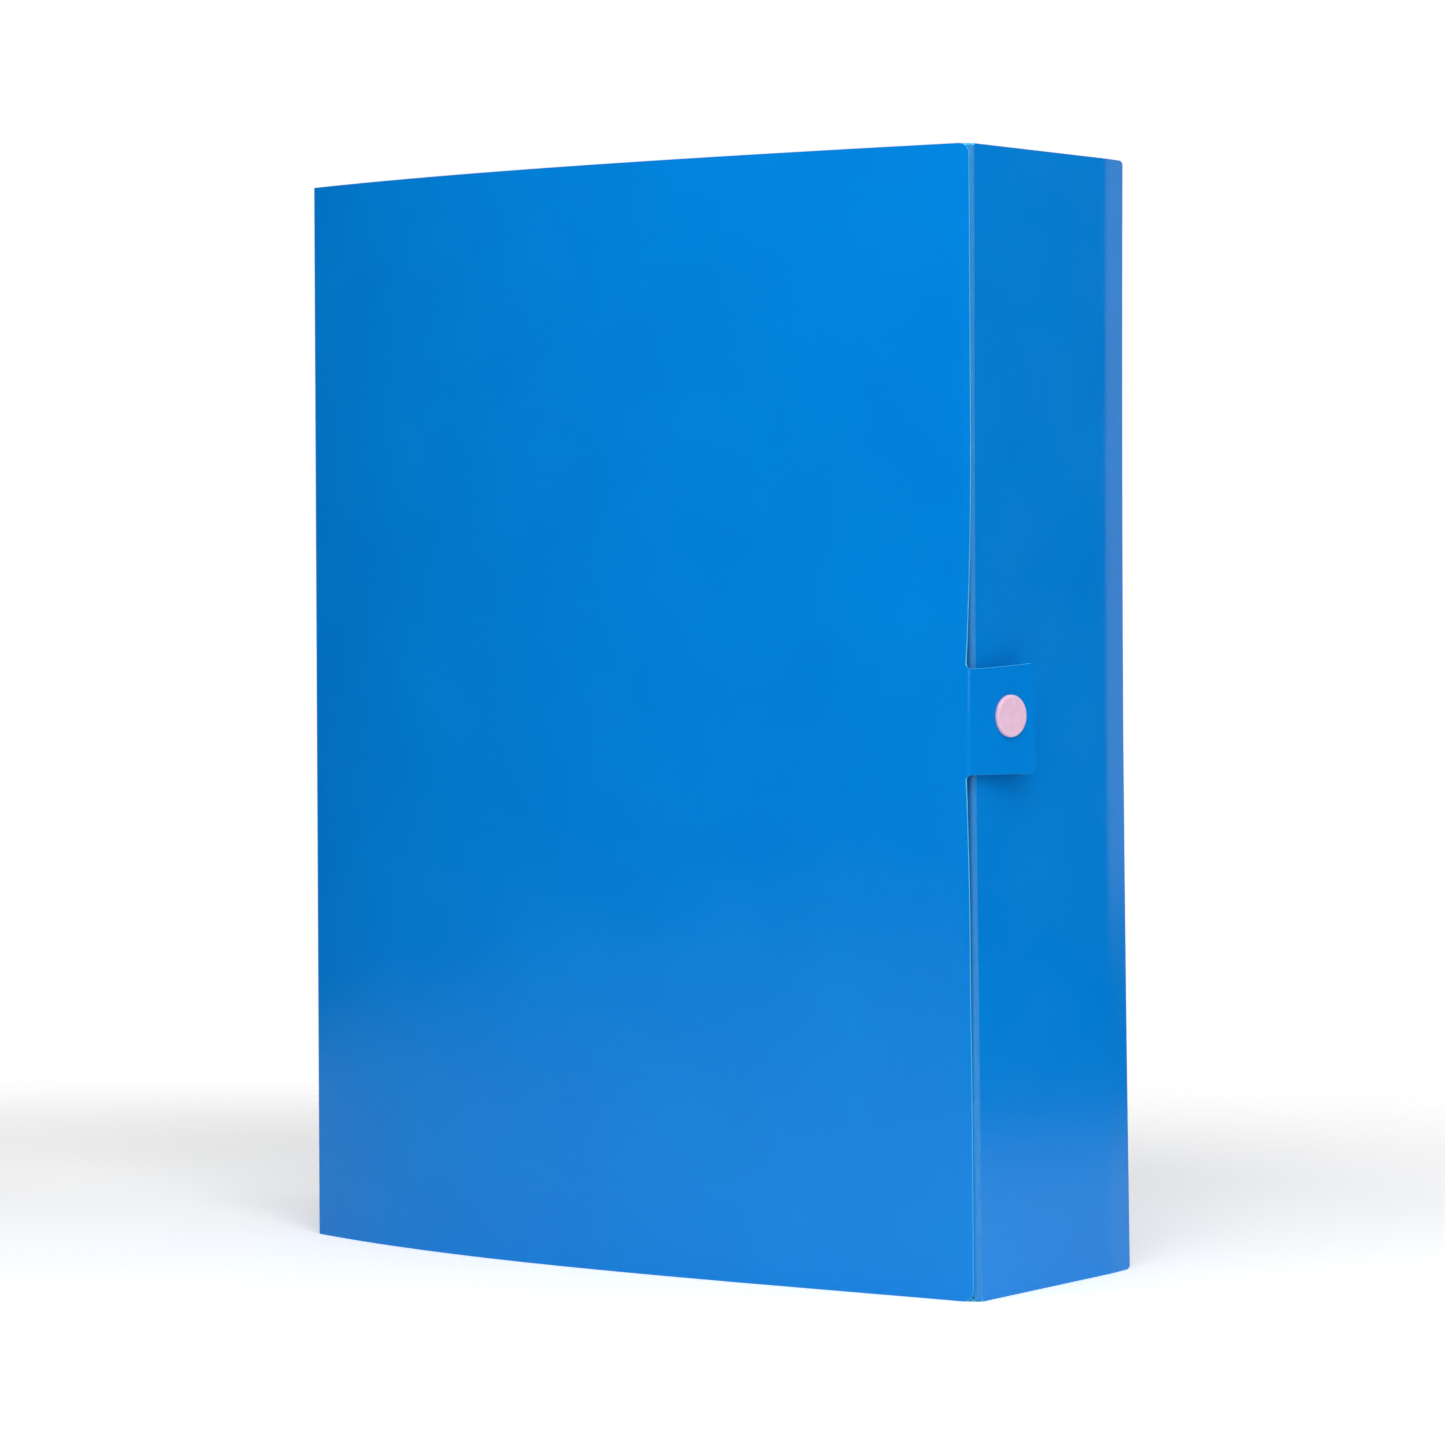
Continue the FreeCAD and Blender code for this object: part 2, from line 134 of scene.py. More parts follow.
# ---- the tab and the press stud ---------------------------------------------------------------
TAB_LEAN = math.radians(10.5)
TAB_LENGTH = 27.0 * MM
TAB_FLARE_LOW = 0.4 * MM     # the tab grows this much taller towards its tip
TAB_FLARE_HIGH = 1.3 * MM
TAB_CORNER = 2.0 * MM
TAB_ROOT_FILLET = 1.7 * MM
TAB_SETTLE = 10.0 * MM       # the tab meets its own plane this far from its fold
STUD_ALONG_TAB = (STUD_Y - TAB_FOLD_Y) / math.cos(TAB_LEAN)
POST_HOLE = 1.55 * MM
POST_RADIUS = 1.5 * MM
CAP_RADIUS = 6.1 * MM
CAP_THICKNESS = 1.2 * MM
CAP_RIM = 0.8 * MM           # rounding of a cap's outer edge
CAP_FOOT = 0.18 * MM         # and of its edge against the card
CAP_DISH_MARGIN = 1.35 * MM  # width of the flat ring round a cap's dish
CAP_DISH = 0.14 * MM
BACKING_DISH = 0.12 * MM
SOCKET_RADIUS = 5.3 * MM     # of the socket and of the stud's foot
SOCKET_THICKNESS = 1.25 * MM
SOCKET_WEB = 0.4 * MM
SOCKET_BORE_RADIUS = 2.8 * MM
SOCKET_LIP_RADIUS = 2.4 * MM
SOCKET_LIP = 0.3 * MM
LIP_BEVEL = 0.1 * MM
GROOVE_OUTER_RADIUS = 3.9 * MM
GROOVE_INNER_RADIUS = 3.1 * MM
STUD_BASE = 0.5 * MM
STUD_BASE_BEVEL = 0.12 * MM
STUD_FILLET_RADIUS = 2.0 * MM
STUD_NECK_RADIUS = 1.7 * MM
STUD_NECK_TOP = 1.15 * MM
STUD_HEAD_RADIUS = 1.9 * MM
STUD_HEAD_ROUND = 0.35 * MM
STUD_HEAD_HEIGHT = 1.5 * MM  # where the head is widest
STUD_TOP = 1.88 * MM
MOULD_BEVEL = 0.15 * MM
MOULD_ROUND = 0.2 * MM

# ---- how far the fore-edge wall stands from its plane -----------------------------------------
WALL_LEAN_FRONT = (-0.9 * MM, 0.5 * MM, 1.4 * MM)   # at mid height, more at the head, more at the tail
WALL_LEAN_BACK = (0.75 * MM, 0.8 * MM, 1.3 * MM)
BACK_TURN = math.radians(4.8)  # the wall turns in by this angle over its last stretch before the back
BACK_TURN_RUN = 12.5 * MM
BACK_TURN_BLEND = 2.5 * MM
LEAN_POWER_HEAD = 2.0        # how the lean grows towards the head and the tail
LEAN_POWER_TAIL = 1.4
STUD_PULL_REACH = 9.0 * MM   # the stud holds the wall to its plane this far round itself
LEAN_SHARE_END = 3.0 * MM    # the whole lean is reached this far inside the wall

# ---- how finely the card is drawn --------------------------------------------------------------
DIFF = 1e-7                  # step for the slope of a surface
WALL_ROWS = 67
COVER_ROWS = 61
TAB_ROWS = 31
END_ROWS = 50
CORNER_FLAP_ROWS = 20
BACK_FOLD_ROWS = 60
SHARP_ANGLE = math.radians(35.0)
SPINE_WARP = 0.12 * MM       # unevenness of the spine and of the inner flaps
FLAP_WARP = 0.15 * MM
WARP_RUN = 15.0 * MM         # it fades in over this much from a panel's fold
WARP_SIDE = 8.0              # and over one part in this many from the panel's sides


def unit(vectors):
    return vectors / np.linalg.norm(vectors, axis=-1, keepdims=True)


def smooth(t):
    t = np.clip(t, 0.0, 1.0)
    return t * t * (3.0 - 2.0 * t)


# ---- the cover's middle face -------------------------------------------------------------------
def tab_zone(z):
    """1 beside the tab, falling to 0 a little above and below it."""
    reach = np.abs(z - TAB_MIDDLE_Z) - TAB_ZONE
    return 1.0 - smooth(reach / TAB_ZONE_BLEND)


def cover_edge(z):
    """Middle of the card at the cover's free edge, at each height."""
    rise = z - TAB_MIDDLE_Z
    reach = np.where(rise > 0, LIFT_ABOVE, LIFT_BELOW)
    lift = EDGE_LIFT * np.exp(-(rise / reach) ** 2)
    lift = lift + HEAD_LIFT * smooth(rise / (COVER_HIGH_Z - TAB_MIDDLE_Z))
    x = COVER_EDGE_X - TAIL_DRAW_IN * smooth((-rise - DRAW_IN_START) / DRAW_IN_RUN)
    return np.stack([x, EDGE_SHUT_Y + HALF - lift, z], axis=-1)


def cover_point(t, z):
    """The cover's middle face: t runs from the spine fold, 0, to the free edge, 1."""
    start = np.stack([np.full_like(z, SPINE_X), np.full_like(z, COVER_FOLD_Y), z], axis=-1)
    chord = cover_edge(z) - start
    length = np.linalg.norm(chord, axis=-1)
    outward = np.stack([chord[..., 1], -chord[..., 0], np.zeros_like(z)], axis=-1) / length[..., None]
    skew = SKEW_TAIL + (SKEW_HEAD - SKEW_TAIL) * (z - TAIL_Z) / (HEAD_Z - TAIL_Z)
    bow = 4.0 * COVER_SAG * t * (1.0 - t) * (1.0 + skew * (1.0 - 2.0 * t))
    from_edge = (1.0 - t) * length
    curl = np.clip(1.0 - from_edge / CURL_RUN, 0.0, 2.0) ** 2
    bow = bow - EDGE_CURL * curl * (1.0 - tab_zone(z))
    return start + chord * t[..., None] + outward * bow[..., None]


def cover_direction(t, z):
    """Unit vector along the cover, away from the spine, at t."""
    t = np.full_like(z, t)
    along = cover_point(t + DIFF, z) - cover_point(t - DIFF, z)
    along[..., 2] = 0.0
    return unit(along)


# ---- the fore-edge wall's lean -----------------------------------------------------------------
def lean_at(profile, z):
    """How far the wall stands from its plane at each height."""
    middle_lean, head_gain, tail_gain = profile
    share = (z - MIDDLE_Z) / MIDDLE_Z
    distance = np.abs(share)
    gain = np.where(share > 0, head_gain * distance ** LEAN_POWER_HEAD,
                    tail_gain * distance ** LEAN_POWER_TAIL)
    return middle_lean + gain


def flare(points):
    """Points of the tray and its flaps, moved with the fore-edge wall, which isn't quite flat."""
    x, y, z = points[..., 0], points[..., 1], points[..., 2]
    back_share = np.clip((y - FLAP_Y) / (BACK_Y - FLAP_Y), 0.0, 1.0)
    lean = lean_at(WALL_LEAN_FRONT, z) * (1.0 - back_share) + lean_at(WALL_LEAN_BACK, z) * back_share
    past = np.clip(y - BACK_Y + BACK_TURN_RUN, 0.0, BACK_TURN_RUN)
    eased = np.where(past < BACK_TURN_BLEND, past ** 2 / (2.0 * BACK_TURN_BLEND),
                     past - BACK_TURN_BLEND / 2.0)
    lean = lean - math.tan(BACK_TURN) * eased
    from_stud = (y - STUD_Y) ** 2 + (z - STUD_Z) ** 2
    lean = lean * (1.0 - np.exp(-from_stud / (2.0 * STUD_PULL_REACH ** 2)))
    moved = points.copy()
    moved[..., 0] = x + lean * smooth((x - WALL_X / 2.0) / (WALL_X / 2.0 - LEAN_SHARE_END))
    return moved


def flare_mesh(obj):
    """Moves a finished piece with the fore-edge wall's lean."""
    count = len(obj.data.vertices)
    points = np.empty(count * 3)
    obj.data.vertices.foreach_get("co", points)
    obj.data.vertices.foreach_set("co", flare(points.reshape(count, 3)).ravel())
    obj.data.update()


# ---- sheets of card ----------------------------------------------------------------------------
def sheet_normals(surface, u, v):
    """Unit normals of a surface(u, v), from its slopes."""
    across_u = surface(u + DIFF, v) - surface(u - DIFF, v)
    across_v = surface(u, v + DIFF) - surface(u, v - DIFF)
    return unit(np.cross(across_u, across_v))


def card_sheet(name, surface, us, vs, facing, joined=()):
    """A closed sheet of card from its middle face.

    surface(u, v) gives the middle face, us and vs are the lines it is sampled on, and facing
    is a direction on the glazed side.  joined names the sides, start, end, low or high, that
    run on into another piece, so their edge stays flat.
    """
    us, vs = np.asarray(us, float), np.asarray(vs, float)
    u, v = np.meshgrid(us, vs, indexing="ij")
    if np.mean(sheet_normals(surface, u, v) @ np.array(facing, float)) < 0:
        vs = vs[::-1]
        u, v = np.meshgrid(us, vs, indexing="ij")
    points, normals = surface(u, v), sheet_normals(surface, u, v)
    rows, columns = u.shape
    loop = [(i, 0) for i in range(rows - 1)] + [(rows - 1, j) for j in range(columns - 1)]
    loop += [(i, columns - 1) for i in range(rows - 1, 0, -1)] + [(0, j) for j in range(columns - 1, 0, -1)]
    loop = np.array(loop)
    edge, edge_normals = points[loop[:, 0], loop[:, 1]], normals[loop[:, 0], loop[:, 1]]
    outward = unit(np.cross(np.roll(edge, -1, axis=0) - np.roll(edge, 1, axis=0), edge_normals))
    edge_u, edge_v = u[loop[:, 0], loop[:, 1]], v[loop[:, 0], loop[:, 1]]
    sides = {"start": edge_u == us[0], "end": edge_u == us[-1],
             "low": edge_v == vs.min(), "high": edge_v == vs.max()}
    bulge = np.full(len(loop), EDGE_BULGE)
    for side in joined:
        bulge[sides[side]] = 0.0
    middle_ring = edge + outward * bulge[:, None]

    layer = rows * columns
    vertices = np.concatenate([(points + normals * HALF).reshape(layer, 3),
                               (points - normals * HALF).reshape(layer, 3), middle_ring])
    faces, materials = [], []
    for i in range(rows - 1):
        for j in range(columns - 1):
            a, b = i * columns + j, (i + 1) * columns + j
            faces.append((a, b, b + 1, a + 1))
            faces.append((layer + a + 1, layer + b + 1, layer + b, layer + a))
            materials += [0, 1]
    for k, (i, j) in enumerate(loop):
        following = (k + 1) % len(loop)
        i_next, j_next = loop[following]
        here, there = i * columns + j, i_next * columns + j_next
        ring_here, ring_there = 2 * layer + k, 2 * layer + following
        faces.append((here, ring_here, ring_there, there))
        faces.append((ring_here, layer + here, layer + there, ring_there))
        materials += [2, 2]
    mesh = bpy.data.meshes.new(name)
    mesh.from_pydata(vertices.tolist(), [], faces)
    mesh.polygons.foreach_set("material_index", materials)
    return finish_mesh(name, mesh, CARD_FINISHES)


def finish_mesh(name, mesh, finishes):
    for finish in finishes:
        mesh.materials.append(finish)
    mesh.shade_smooth()
    mesh.set_sharp_from_angle(angle=SHARP_ANGLE)
    obj = bpy.data.objects.new(name, mesh)
    bpy.context.scene.collection.objects.link(obj)
    return obj


def ripple(a, b, seed):
    """A gentle unevenness of the card, from -1 to 1, with no repeat within the box."""
    waves = ((21.0, 13.0), (-17.0, 29.0), (37.0, -23.0), (9.0, 47.0))
    total = np.zeros_like(a)
    for k, (along, across) in enumerate(waves):
        total = total + np.sin(along * a + across * b + seed * 1.7 + k * 2.1)
    return total / len(waves)


def panel_surface(origin, along, across, span, warp=0.0, seed=0.0):
    """A nearly flat panel: u runs along it from the origin, and span(u) gives its two ends across.

    warp is the size of its unevenness, which dies away towards all four sides.
    """
    origin, along, across = (np.array(vector, float) for vector in (origin, along, across))
    normal = np.cross(along, across)

    def surface(u, v):
        low, high = span(u)
        w = low + (high - low) * v
        fade = smooth(u / WARP_RUN) * smooth(v * WARP_SIDE) * smooth((1.0 - v) * WARP_SIDE)
        lift = warp * ripple(u, w, seed) * fade
        return origin + along * u[..., None] + across * w[..., None] + normal * lift[..., None]
    return surface


def fold_surface(corner, toward_a, toward_b, set_back, span):
    """A rolled fold between two panels, with a short flat run at each end.

    u runs from one panel to the other, 0 to fold_length.  corner, toward_a and toward_b are
    functions of the height w along the fold; along each panel the fold reaches set_back.
    """
    arc_reach = set_back - FLAT_RUN

    def surface(u, v):
        low, high = span(u)
        w = low + (high - low) * v
        point, a, b = corner(w), toward_a(w), toward_b(w)
        half_angle = np.arccos(np.clip(np.sum(a * b, axis=-1), -1.0, 1.0))[..., None] / 2.0
        radius = arc_reach * np.tan(half_angle)
        bend = math.pi - 2.0 * half_angle
        centre = point + unit(a + b) * (arc_reach / np.cos(half_angle))
        spoke = (point + a * arc_reach - centre) / radius
        turn = np.clip((u[..., None] - FLAT_RUN) / radius, 0.0, bend)
        before = np.minimum(u[..., None] - FLAT_RUN, 0.0)
        after = np.maximum(u[..., None] - FLAT_RUN - radius * bend, 0.0)
        rolled = centre + radius * (spoke * np.cos(turn) - a * np.sin(turn))
        return rolled - a * before + b * after
    return surface


def fold_length(a, b, set_back):
    """Length over the middle face of a fold between two directions, flat runs included."""
    half_angle = math.acos(np.dot(a, b)) / 2.0
    radius = (set_back - FLAT_RUN) * math.tan(half_angle)
    return radius * (math.pi - 2.0 * half_angle) + 2.0 * FLAT_RUN


def steady(vector):
    """The same vector at every height, as fold_surface wants it."""
    return lambda w: np.broadcast_to(np.array(vector, float), w.shape + (3,))


def even_span(low, high):
    return lambda u: (np.full_like(u, low), np.full_like(u, high))


def fold_samples(length, count=14):
    inner = np.linspace(FLAT_RUN, length - FLAT_RUN, count)
    return np.concatenate([[0.0], inner, [length]])


def bend_between(obj, child, corner, toward_a, toward_b):
    """A fold between two panels, with its transform baked into its points; it is tied to neither panel's
    body.
    """
    a, b, corner = Vector(toward_a), Vector(toward_b), Vector(corner)
    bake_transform(obj)
    return obj


def stands_for(obj, node):
    """Puts a drawn piece in the place of a CAD node."""
    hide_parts(node)
    return obj


def riding(obj, node):
    """The same for a rigid piece, which also moves with the node's body."""
    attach(obj, BODY_OF[node])
    return stands_for(obj, node)


def pierce(obj, centre, direction, radius):
    """Cuts a round hole through a sheet, for a stud's post."""
    bpy.ops.mesh.primitive_cylinder_add(vertices=48, radius=radius, depth=6.0 * MM, location=centre)
    cutter = bpy.context.object
    cutter.rotation_mode = "QUATERNION"
    cutter.rotation_quaternion = Vector(direction).to_track_quat("Z", "Y")
    cutter.data.materials.append(CARD_FINISHES[2])
    modifier = obj.modifiers.new("hole", "BOOLEAN")
    modifier.operation = "DIFFERENCE"
    modifier.solver = "EXACT"
    modifier.object = cutter
    bpy.context.view_layer.update()
    graph = bpy.context.evaluated_depsgraph_get()
    cut = bpy.data.meshes.new_from_object(obj.evaluated_get(graph))
    obj.modifiers.clear()
    old = obj.data
    obj.data = cut
    bpy.data.meshes.remove(old)
    bpy.data.objects.remove(cutter)


# ---- materials ---------------------------------------------------------------------------------
def new_material(name):
    material = bpy.data.materials.new(name)
    material.use_nodes = True
    tree = material.node_tree
    return material, tree, tree.nodes["Principled BSDF"]


def node_of(tree, kind, **values):
    node = tree.nodes.new(kind)
    for key, value in values.items():
        setattr(node, key, value)
    return node


def object_noise(tree, scale, stretch=(1.0, 1.0, 1.0), detail=3.0, roughness=0.5):
    """Noise fixed to the object, with features about 1/scale metres across."""
    place = node_of(tree, "ShaderNodeTexCoord")
    mapping = node_of(tree, "ShaderNodeMapping")
    mapping.inputs["Scale"].default_value = stretch
    noise = node_of(tree, "ShaderNodeTexNoise")
    noise.inputs["Scale"].default_value = scale
    noise.inputs["Detail"].default_value = detail
    noise.inputs["Roughness"].default_value = roughness
    tree.links.new(place.outputs["Object"], mapping.inputs["Vector"])
    tree.links.new(mapping.outputs["Vector"], noise.inputs["Vector"])
    return noise.outputs["Fac"]


def spread(tree, value, low, high):
    """The noise value stretched to run from low to high."""
    remap = node_of(tree, "ShaderNodeMapRange")
    remap.inputs["From Min"].default_value = 0.3
    remap.inputs["From Max"].default_value = 0.7
    remap.inputs["To Min"].default_value = low
    remap.inputs["To Max"].default_value = high
    tree.links.new(value, remap.inputs["Value"])
    return remap.outputs["Result"]


def mixed_colour(tree, factor, first, second):
    mix = node_of(tree, "ShaderNodeMix", data_type="RGBA")
    mix.inputs["A"].default_value = (*first, 1.0)
    mix.inputs["B"].default_value = (*second, 1.0)
    tree.links.new(factor, mix.inputs["Factor"])
    return mix.outputs["Result"]


def bumped(tree, height, distance, strength=1.0, under=None):
    bump = node_of(tree, "ShaderNodeBump")
    bump.inputs["Distance"].default_value = distance
    bump.inputs["Strength"].default_value = strength
    tree.links.new(height, bump.inputs["Height"])
    if under is not None:
        tree.links.new(under, bump.inputs["Normal"])
    return bump.outputs["Normal"]


def glazed_finish():
    """The glazed outer side: deep even blue, a smooth film with a trace of pulp under it."""
    material, tree, shader = new_material("glazed_card")
    cloud = spread(tree, object_noise(tree, 22.0, detail=2.0), 0.0, 1.0)
    colour = mixed_colour(tree, cloud, (0.0, 0.200, 0.640), (0.0, 0.214, 0.662))
    tree.links.new(colour, shader.inputs["Base Color"])
    smudge = spread(tree, object_noise(tree, 45.0, detail=4.0), 0.13, 0.19)
    tree.links.new(smudge, shader.inputs["Roughness"])
    shader.inputs["Specular IOR Level"].default_value = 0.15
    pulp = bumped(tree, object_noise(tree, 260.0, (1.0, 1.0, 0.45), detail=2.0), 0.012 * MM)
    peel = bumped(tree, object_noise(tree, 1100.0, detail=1.0), 0.002 * MM, under=pulp)
    tree.links.new(peel, shader.inputs["Normal"])
    return material


def plain_finish():
    """The inner side: the same dyed card without its glaze."""
    material, tree, shader = new_material("plain_card")
    fibre = spread(tree, object_noise(tree, 900.0, (1.0, 1.0, 0.3), detail=5.0, roughness=0.65), 0.0, 1.0)
    colour = mixed_colour(tree, fibre, (0.012, 0.205, 0.56), (0.03, 0.25, 0.62))
    tree.links.new(colour, shader.inputs["Base Color"])
    tree.links.new(spread(tree, object_noise(tree, 60.0), 0.52, 0.66), shader.inputs["Roughness"])
    shader.inputs["Specular IOR Level"].default_value = 0.3
    tree.links.new(bumped(tree, fibre, 0.015 * MM), shader.inputs["Normal"])
    return material


def cut_finish():
    """The cut edge: torn dyed fibres, paler than either side, and made paler still as a painted highlight
    for the light the thin edge catches.
    """
    material, tree, shader = new_material("cut_card")
    fibre = spread(tree, object_noise(tree, 2200.0, (1.0, 1.0, 0.12), detail=4.0, roughness=0.7), 0.0, 1.0)
    # painted highlight: these pale blues are pushed past the fibres' own colour to stand for light catching
    # the thin cut edge
    colour = mixed_colour(tree, fibre, (0.05, 0.55, 0.98), (0.12, 0.74, 1.0))
    tree.links.new(colour, shader.inputs["Base Color"])
    shader.inputs["Roughness"].default_value = 0.7
    tree.links.new(bumped(tree, fibre, 0.03 * MM), shader.inputs["Normal"])
    return material


def stud_finish(name, light, dark):
    """Moulded plastic with a faint mottle."""
    material, tree, shader = new_material(name)
    mottle = spread(tree, object_noise(tree, 420.0, detail=3.0), 0.0, 1.0)
    tree.links.new(mixed_colour(tree, mottle, dark, light), shader.inputs["Base Color"])
    tree.links.new(spread(tree, object_noise(tree, 900.0), 0.20, 0.28), shader.inputs["Roughness"])
    shader.inputs["Subsurface Weight"].default_value = 0.06
    shader.inputs["Subsurface Scale"].default_value = 0.5 * MM
    grain = bumped(tree, object_noise(tree, 1500.0, detail=2.0), 0.006 * MM)
    tree.links.new(grain, shader.inputs["Normal"])
    return material


CARD_FINISHES = [glazed_finish(), plain_finish(), cut_finish()]
STUD_FINISHES = [stud_finish("moulded_pink", (0.82, 0.55, 0.71), (0.78, 0.50, 0.66))]


# ---- the tray ----------------------------------------------------------------------------------
def samples(low, high, step):
    return np.linspace(low, high, max(2, int(round((high - low) / step)) + 1))


def tray_piece(name, node, surface, us, vs, facing, joined=()):
    obj = card_sheet(name, surface, us, vs, facing, joined)
    flare_mesh(obj)
    return riding(obj, node)


def add_upright_panels():
    depth = BACK_Y - SET_BACK - FLAP_Y - WALL_SET_BACK
    tall = even_span(WALL_LOW_Z, WALL_HIGH_Z)
    heights = np.linspace(0.0, 1.0, WALL_ROWS)

    def relieved(u):
        past = np.clip((u - depth) / BACK_RELIEF_RUN + 1.0, 0.0, 1.0)
        drop = BACK_RELIEF * (1.0 - np.sqrt(1.0 - past ** 2))
        return WALL_LOW_Z + drop, WALL_HIGH_Z - drop
    wall = panel_surface((WALL_X, FLAP_Y + WALL_SET_BACK, 0), (0, 1, 0), (0, 0, 1), relieved)
    turn = np.linspace(0.0, math.pi / 2.0, 9)
    us = np.concatenate([samples(0, depth - BACK_RELIEF_RUN, 1.6 * MM)[:-1],
                         depth - BACK_RELIEF_RUN * (1.0 - np.sin(turn))])
    obj = card_sheet("fore_edge_wall_card", wall, us, heights, (1, 0, 0), ("start", "end"))
    flare_mesh(obj)
    pierce(obj, (WALL_X, STUD_Y, STUD_Z), (1, 0, 0), POST_HOLE)
    riding(obj, "fore_edge_wall")

    spine_depth = BACK_Y - COVER_FOLD_Y - 2.0 * SET_BACK
    spine = panel_surface((SPINE_X, COVER_FOLD_Y + SET_BACK, 0), (0, 1, 0), (0, 0, 1), tall,
                          warp=SPINE_WARP, seed=1.0)
    tray_piece("spine_panel_card", "spine_panel", spine, samples(0, spine_depth, 4.0 * MM), heights,
               (-1, 0, 0), ("start", "end"))

    width = WALL_X - SPINE_X - 2.0 * SET_BACK
    back_span = even_span(TAIL_Z + SET_BACK, HEAD_Z - SET_BACK)
    back = panel_surface((SPINE_X + SET_BACK, BACK_Y, 0), (1, 0, 0), (0, 0, 1), back_span)
    tray_piece("back_panel_card", "back_panel", back, samples(0, width, 5.0 * MM), heights,
               (0, 1, 0), ("start", "end", "low", "high"))


def add_static_fold(node, corner, toward_a, toward_b, along, span, rows):
    """A fixed fold of the tray; along is the direction of its fold line."""
    length = fold_length(toward_a, toward_b, SET_BACK)
    line = np.array(along, float)
    surface = fold_surface(lambda w: np.array(corner) + line * w[..., None], steady(toward_a),
                           steady(toward_b), SET_BACK, span)
    facing = -np.array(toward_a, float) - np.array(toward_b, float)
    tray_piece(node + "_card", node, surface, fold_samples(length), np.linspace(0, 1, rows),
               facing, ("start", "end"))


def add_back_folds():
    upright = even_span(TAIL_Z + SET_BACK, HEAD_Z - SET_BACK)
    for name, x, inward in (("back_spine_crease", SPINE_X, 1), ("back_fore_edge_crease", WALL_X, -1)):
        add_static_fold(name, (x, BACK_Y, 0), (inward, 0, 0), (0, -1, 0), (0, 0, 1), upright, WALL_ROWS)
    level = even_span(CORNER_SPINE_X + SET_BACK, CORNER_WALL_X - SET_BACK)
    for name, z, inward in (("back_head_crease", HEAD_Z, -1), ("back_tail_crease", TAIL_Z, 1)):
        add_static_fold(name, (0, BACK_Y, z), (0, 0, inward), (0, -1, 0), (1, 0, 0), level, BACK_FOLD_ROWS)


def add_end(end, fold_z, inward):
    """The head or tail wall with its two glued corner flaps; inward is the sign of Z into the box."""
    depth = BACK_Y - FLAP_Y - 2.0 * SET_BACK
    span = even_span(CORNER_SPINE_X + SET_BACK, CORNER_WALL_X - SET_BACK)
    surface = panel_surface((0, FLAP_Y + SET_BACK, fold_z), (0, 1, 0), (1, 0, 0), span)
    tray_piece(end + "_wall_card", end + "_wall", surface, samples(0, depth, 5.0 * MM),
               np.linspace(0, 1, END_ROWS), (0, 0, -inward), ("start", "end", "low", "high"))
    front, back = FLAP_Y + CORNER_FLAP_MARGIN, BACK_Y - CORNER_FLAP_MARGIN
    for side, fold_x, inner_x in (("spine", CORNER_SPINE_X, 1), ("fore_edge", CORNER_WALL_X, -1)):
        name = end + "_" + side + "_corner"
        add_static_fold(name + "_crease", (fold_x, 0, fold_z), (inner_x, 0, 0), (0, 0, inward), (0, 1, 0),
                        even_span(front, back), CORNER_FLAP_ROWS)
        reach = CORNER_FLAP - SET_BACK

        def taper(u):
            inset = CORNER_FLAP_TAPER * u / reach
            return front + inset, back - inset
        flap = panel_surface((fold_x, 0, fold_z + inward * SET_BACK), (0, 0, inward), (0, 1, 0), taper)
        tray_piece(name + "_flap_card", name + "_flap", flap, samples(0, reach, 4.0 * MM),
                   np.linspace(0, 1, CORNER_FLAP_ROWS), (-inner_x, 0, 0), ("start",))


# ---- inner flaps -------------------------------------------------------------------------------
def rounded_reach(reach, radius, step=4.0 * MM, count=10):
    """Lines across a panel, closer together where its far corners are rounded."""
    turn = np.linspace(0.0, math.pi / 2.0, count)
    return np.concatenate([samples(0, reach - radius, step)[:-1], reach - radius + radius * np.sin(turn)])


def corner_drop(u, reach, radius):
    """How far a panel's side has come in at u, near its rounded far corner."""
    past = np.clip(u - (reach - radius), 0.0, radius)
    return radius - np.sqrt(np.maximum(radius ** 2 - past ** 2, 0.0))


def add_inner_flap(body, wall_line, line, inward, out, set_back, low_end, high_end):
    """One inner flap and its fold.

    wall_line is a point on the fold line, line its direction, inward the way the closed flap
    runs, and out the way from the fold along the wall it hangs on.  low_end and high_end are
    where its two mitres start, set_back from the fold line.
    """
    reach = INNER_FLAP - set_back
    wall_line, line, inward = (np.array(vector, float) for vector in (wall_line, line, inward))

    def mitred(u):
        inset = u + corner_drop(u, reach, FLAP_CORNER)
        return low_end + inset, high_end - inset
    flap = panel_surface(wall_line + inward * set_back, inward, line, mitred, warp=FLAP_WARP,
                         seed=len(body))
    node = body.replace("_flap", "_inner_flap")
    obj = card_sheet(node + "_card", flap, rounded_reach(reach, FLAP_CORNER), np.linspace(0, 1, COVER_ROWS),
                     (0, -1, 0), ("start",))
    flare_mesh(obj)
    riding(obj, node)

    length = fold_length(out, inward, set_back)
    surface = fold_surface(lambda w: wall_line + line * w[..., None], steady(out), steady(inward), set_back,
                           even_span(low_end, high_end))
    facing = -np.array(out, float) - inward
    fold = card_sheet(body + "_crease_card", surface, fold_samples(length), np.linspace(0, 1, WALL_ROWS),
                      facing, ("start", "end"))
    bend_between(fold, body, wall_line, out, inward)
    flare_mesh(fold)
    stands_for(fold, body + "_crease")


def add_inner_flaps():
    add_inner_flap("fore_edge_flap", (WALL_X, FLAP_Y, 0), (0, 0, 1), (-1, 0, 0), (0, 1, 0), WALL_SET_BACK,
                   TAIL_Z + FORE_EDGE_FLAP_GAP, HEAD_Z - FORE_EDGE_FLAP_GAP)
    for body, fold_z, inward in (("head_flap", HEAD_Z, -1), ("tail_flap", TAIL_Z, 1)):
        add_inner_flap(body, (0, FLAP_Y, fold_z), (1, 0, 0), (0, 0, inward), (0, 1, 0), SET_BACK,
                       SPINE_X + SET_BACK + SPINE_SIDE_GAP, WALL_X - SET_BACK - MITRE_GAP)


